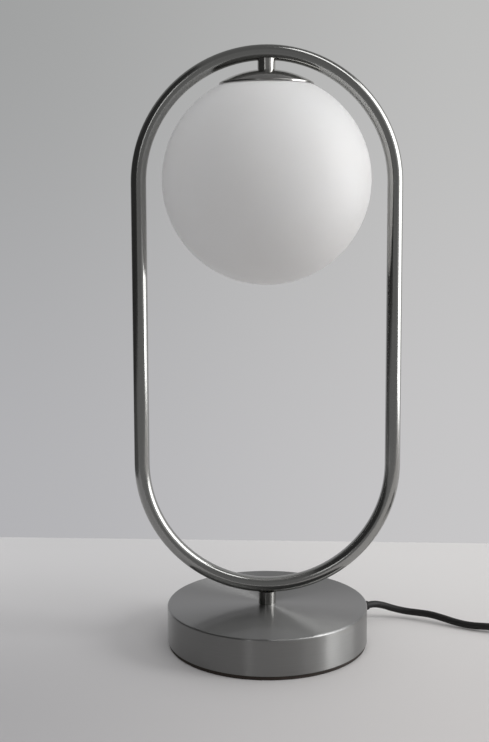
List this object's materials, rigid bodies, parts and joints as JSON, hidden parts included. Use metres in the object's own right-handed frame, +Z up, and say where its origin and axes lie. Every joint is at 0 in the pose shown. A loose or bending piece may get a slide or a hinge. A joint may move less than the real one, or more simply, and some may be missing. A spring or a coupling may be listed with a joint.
{
  "type": "table lamp",
  "caption": "Table lamp: an opal glass globe hangs inside an upright oval loop of satin steel tube on a low round steel base, with a black mains cord.",
  "frame": {"origin": "middle of the lamp's round foot, on the surface it stands on", "axes": "+Z up along the lamp's axis, loop in the XZ plane, front of the lamp faces -Y, cord leaves at the back right (+X, +Y)"},
  "size_m": [0.562, 0.2046, 0.5839],
  "materials": {
    "satin_nickel": "satin nickel plated steel, finely brushed",
    "polished_nickel": "polished nickel",
    "cast_iron": "raw casting",
    "zinc_steel": "bright zinc plated",
    "spring_steel": "bright spring steel",
    "brass": "bright turned brass",
    "bulb_cap_metal": "bright rolled",
    "black_pad": "soft matte foam rubber",
    "black_rubber": "matte moulded",
    "white_holder": "white moulded, slightly glossy",
    "ceramic": "white glazed ceramic",
    "bulb_glass": "frosted inside",
    "opal_glass": "opal white, acid etched to a satin face",
    "clamp_nylon": "natural nylon",
    "black_cord": "matte soft plastic sheath",
    "brown_wire": "brown insulation",
    "blue_wire": "blue insulation",
    "black_plastic": "fine moulded texture",
    "rocker_plastic": "smooth moulded",
    "pin_metal": "nickel plated brass"
  },
  "bodies": {
    "lamp": {"base_cover": "satin_nickel", "base_weight": "cast_iron", "bottom_plate": "zinc_steel", "base_pad": "black_pad", "bottom_screws": "zinc_steel", "stem_bush": "polished_nickel", "base_rod": "brass", "base_washer": "zinc_steel", "base_nut": "zinc_steel", "loop_tube": "satin_nickel", "top_bush": "polished_nickel", "top_rod": "brass", "globe_cap": "polished_nickel", "cap_nut": "zinc_steel", "gallery_plate": "zinc_steel", "gallery_springs": "spring_steel", "holder_cap": "white_holder", "holder_skirt": "white_holder", "holder_core": "ceramic", "screw_shell": "brass", "centre_contact": "brass", "bulb_cap": "bulb_cap_metal", "bulb_glass": "bulb_glass", "cord_grommet": "black_rubber", "cord_clamp": "clamp_nylon", "clamp_screws": "zinc_steel", "terminal_block": "clamp_nylon", "terminal_tubes": "brass", "inner_cord": "black_cord", "live_wire": "brown_wire", "neutral_wire": "blue_wire", "cord_lead": "black_cord", "switch_base": "black_plastic", "switch_cover": "black_plastic", "switch_contacts": "brass", "switch_screws": "zinc_steel", "cord_link": "black_cord", "cord_coil": "black_cord", "cord_tail": "black_cord", "plug_body": "black_plastic", "plug_pins": "pin_metal"},
    "globe": {"globe": "opal_glass"},
    "rocker": {"switch_rocker": "rocker_plastic"}
  },
  "joints": [
    {"name": "globe_drop", "type": "slide", "parent": "lamp", "child": "globe", "axis": [0, 0, -1], "range_m": [0, 0.14], "deforming": ["gallery_springs"]},
    {"name": "switch_rock", "type": "hinge", "parent": "lamp", "child": "rocker", "pos_m": [0.349, 0.038, 0.015], "axis": [0, 1, 0], "range_deg": [0, 18]}
  ]
}
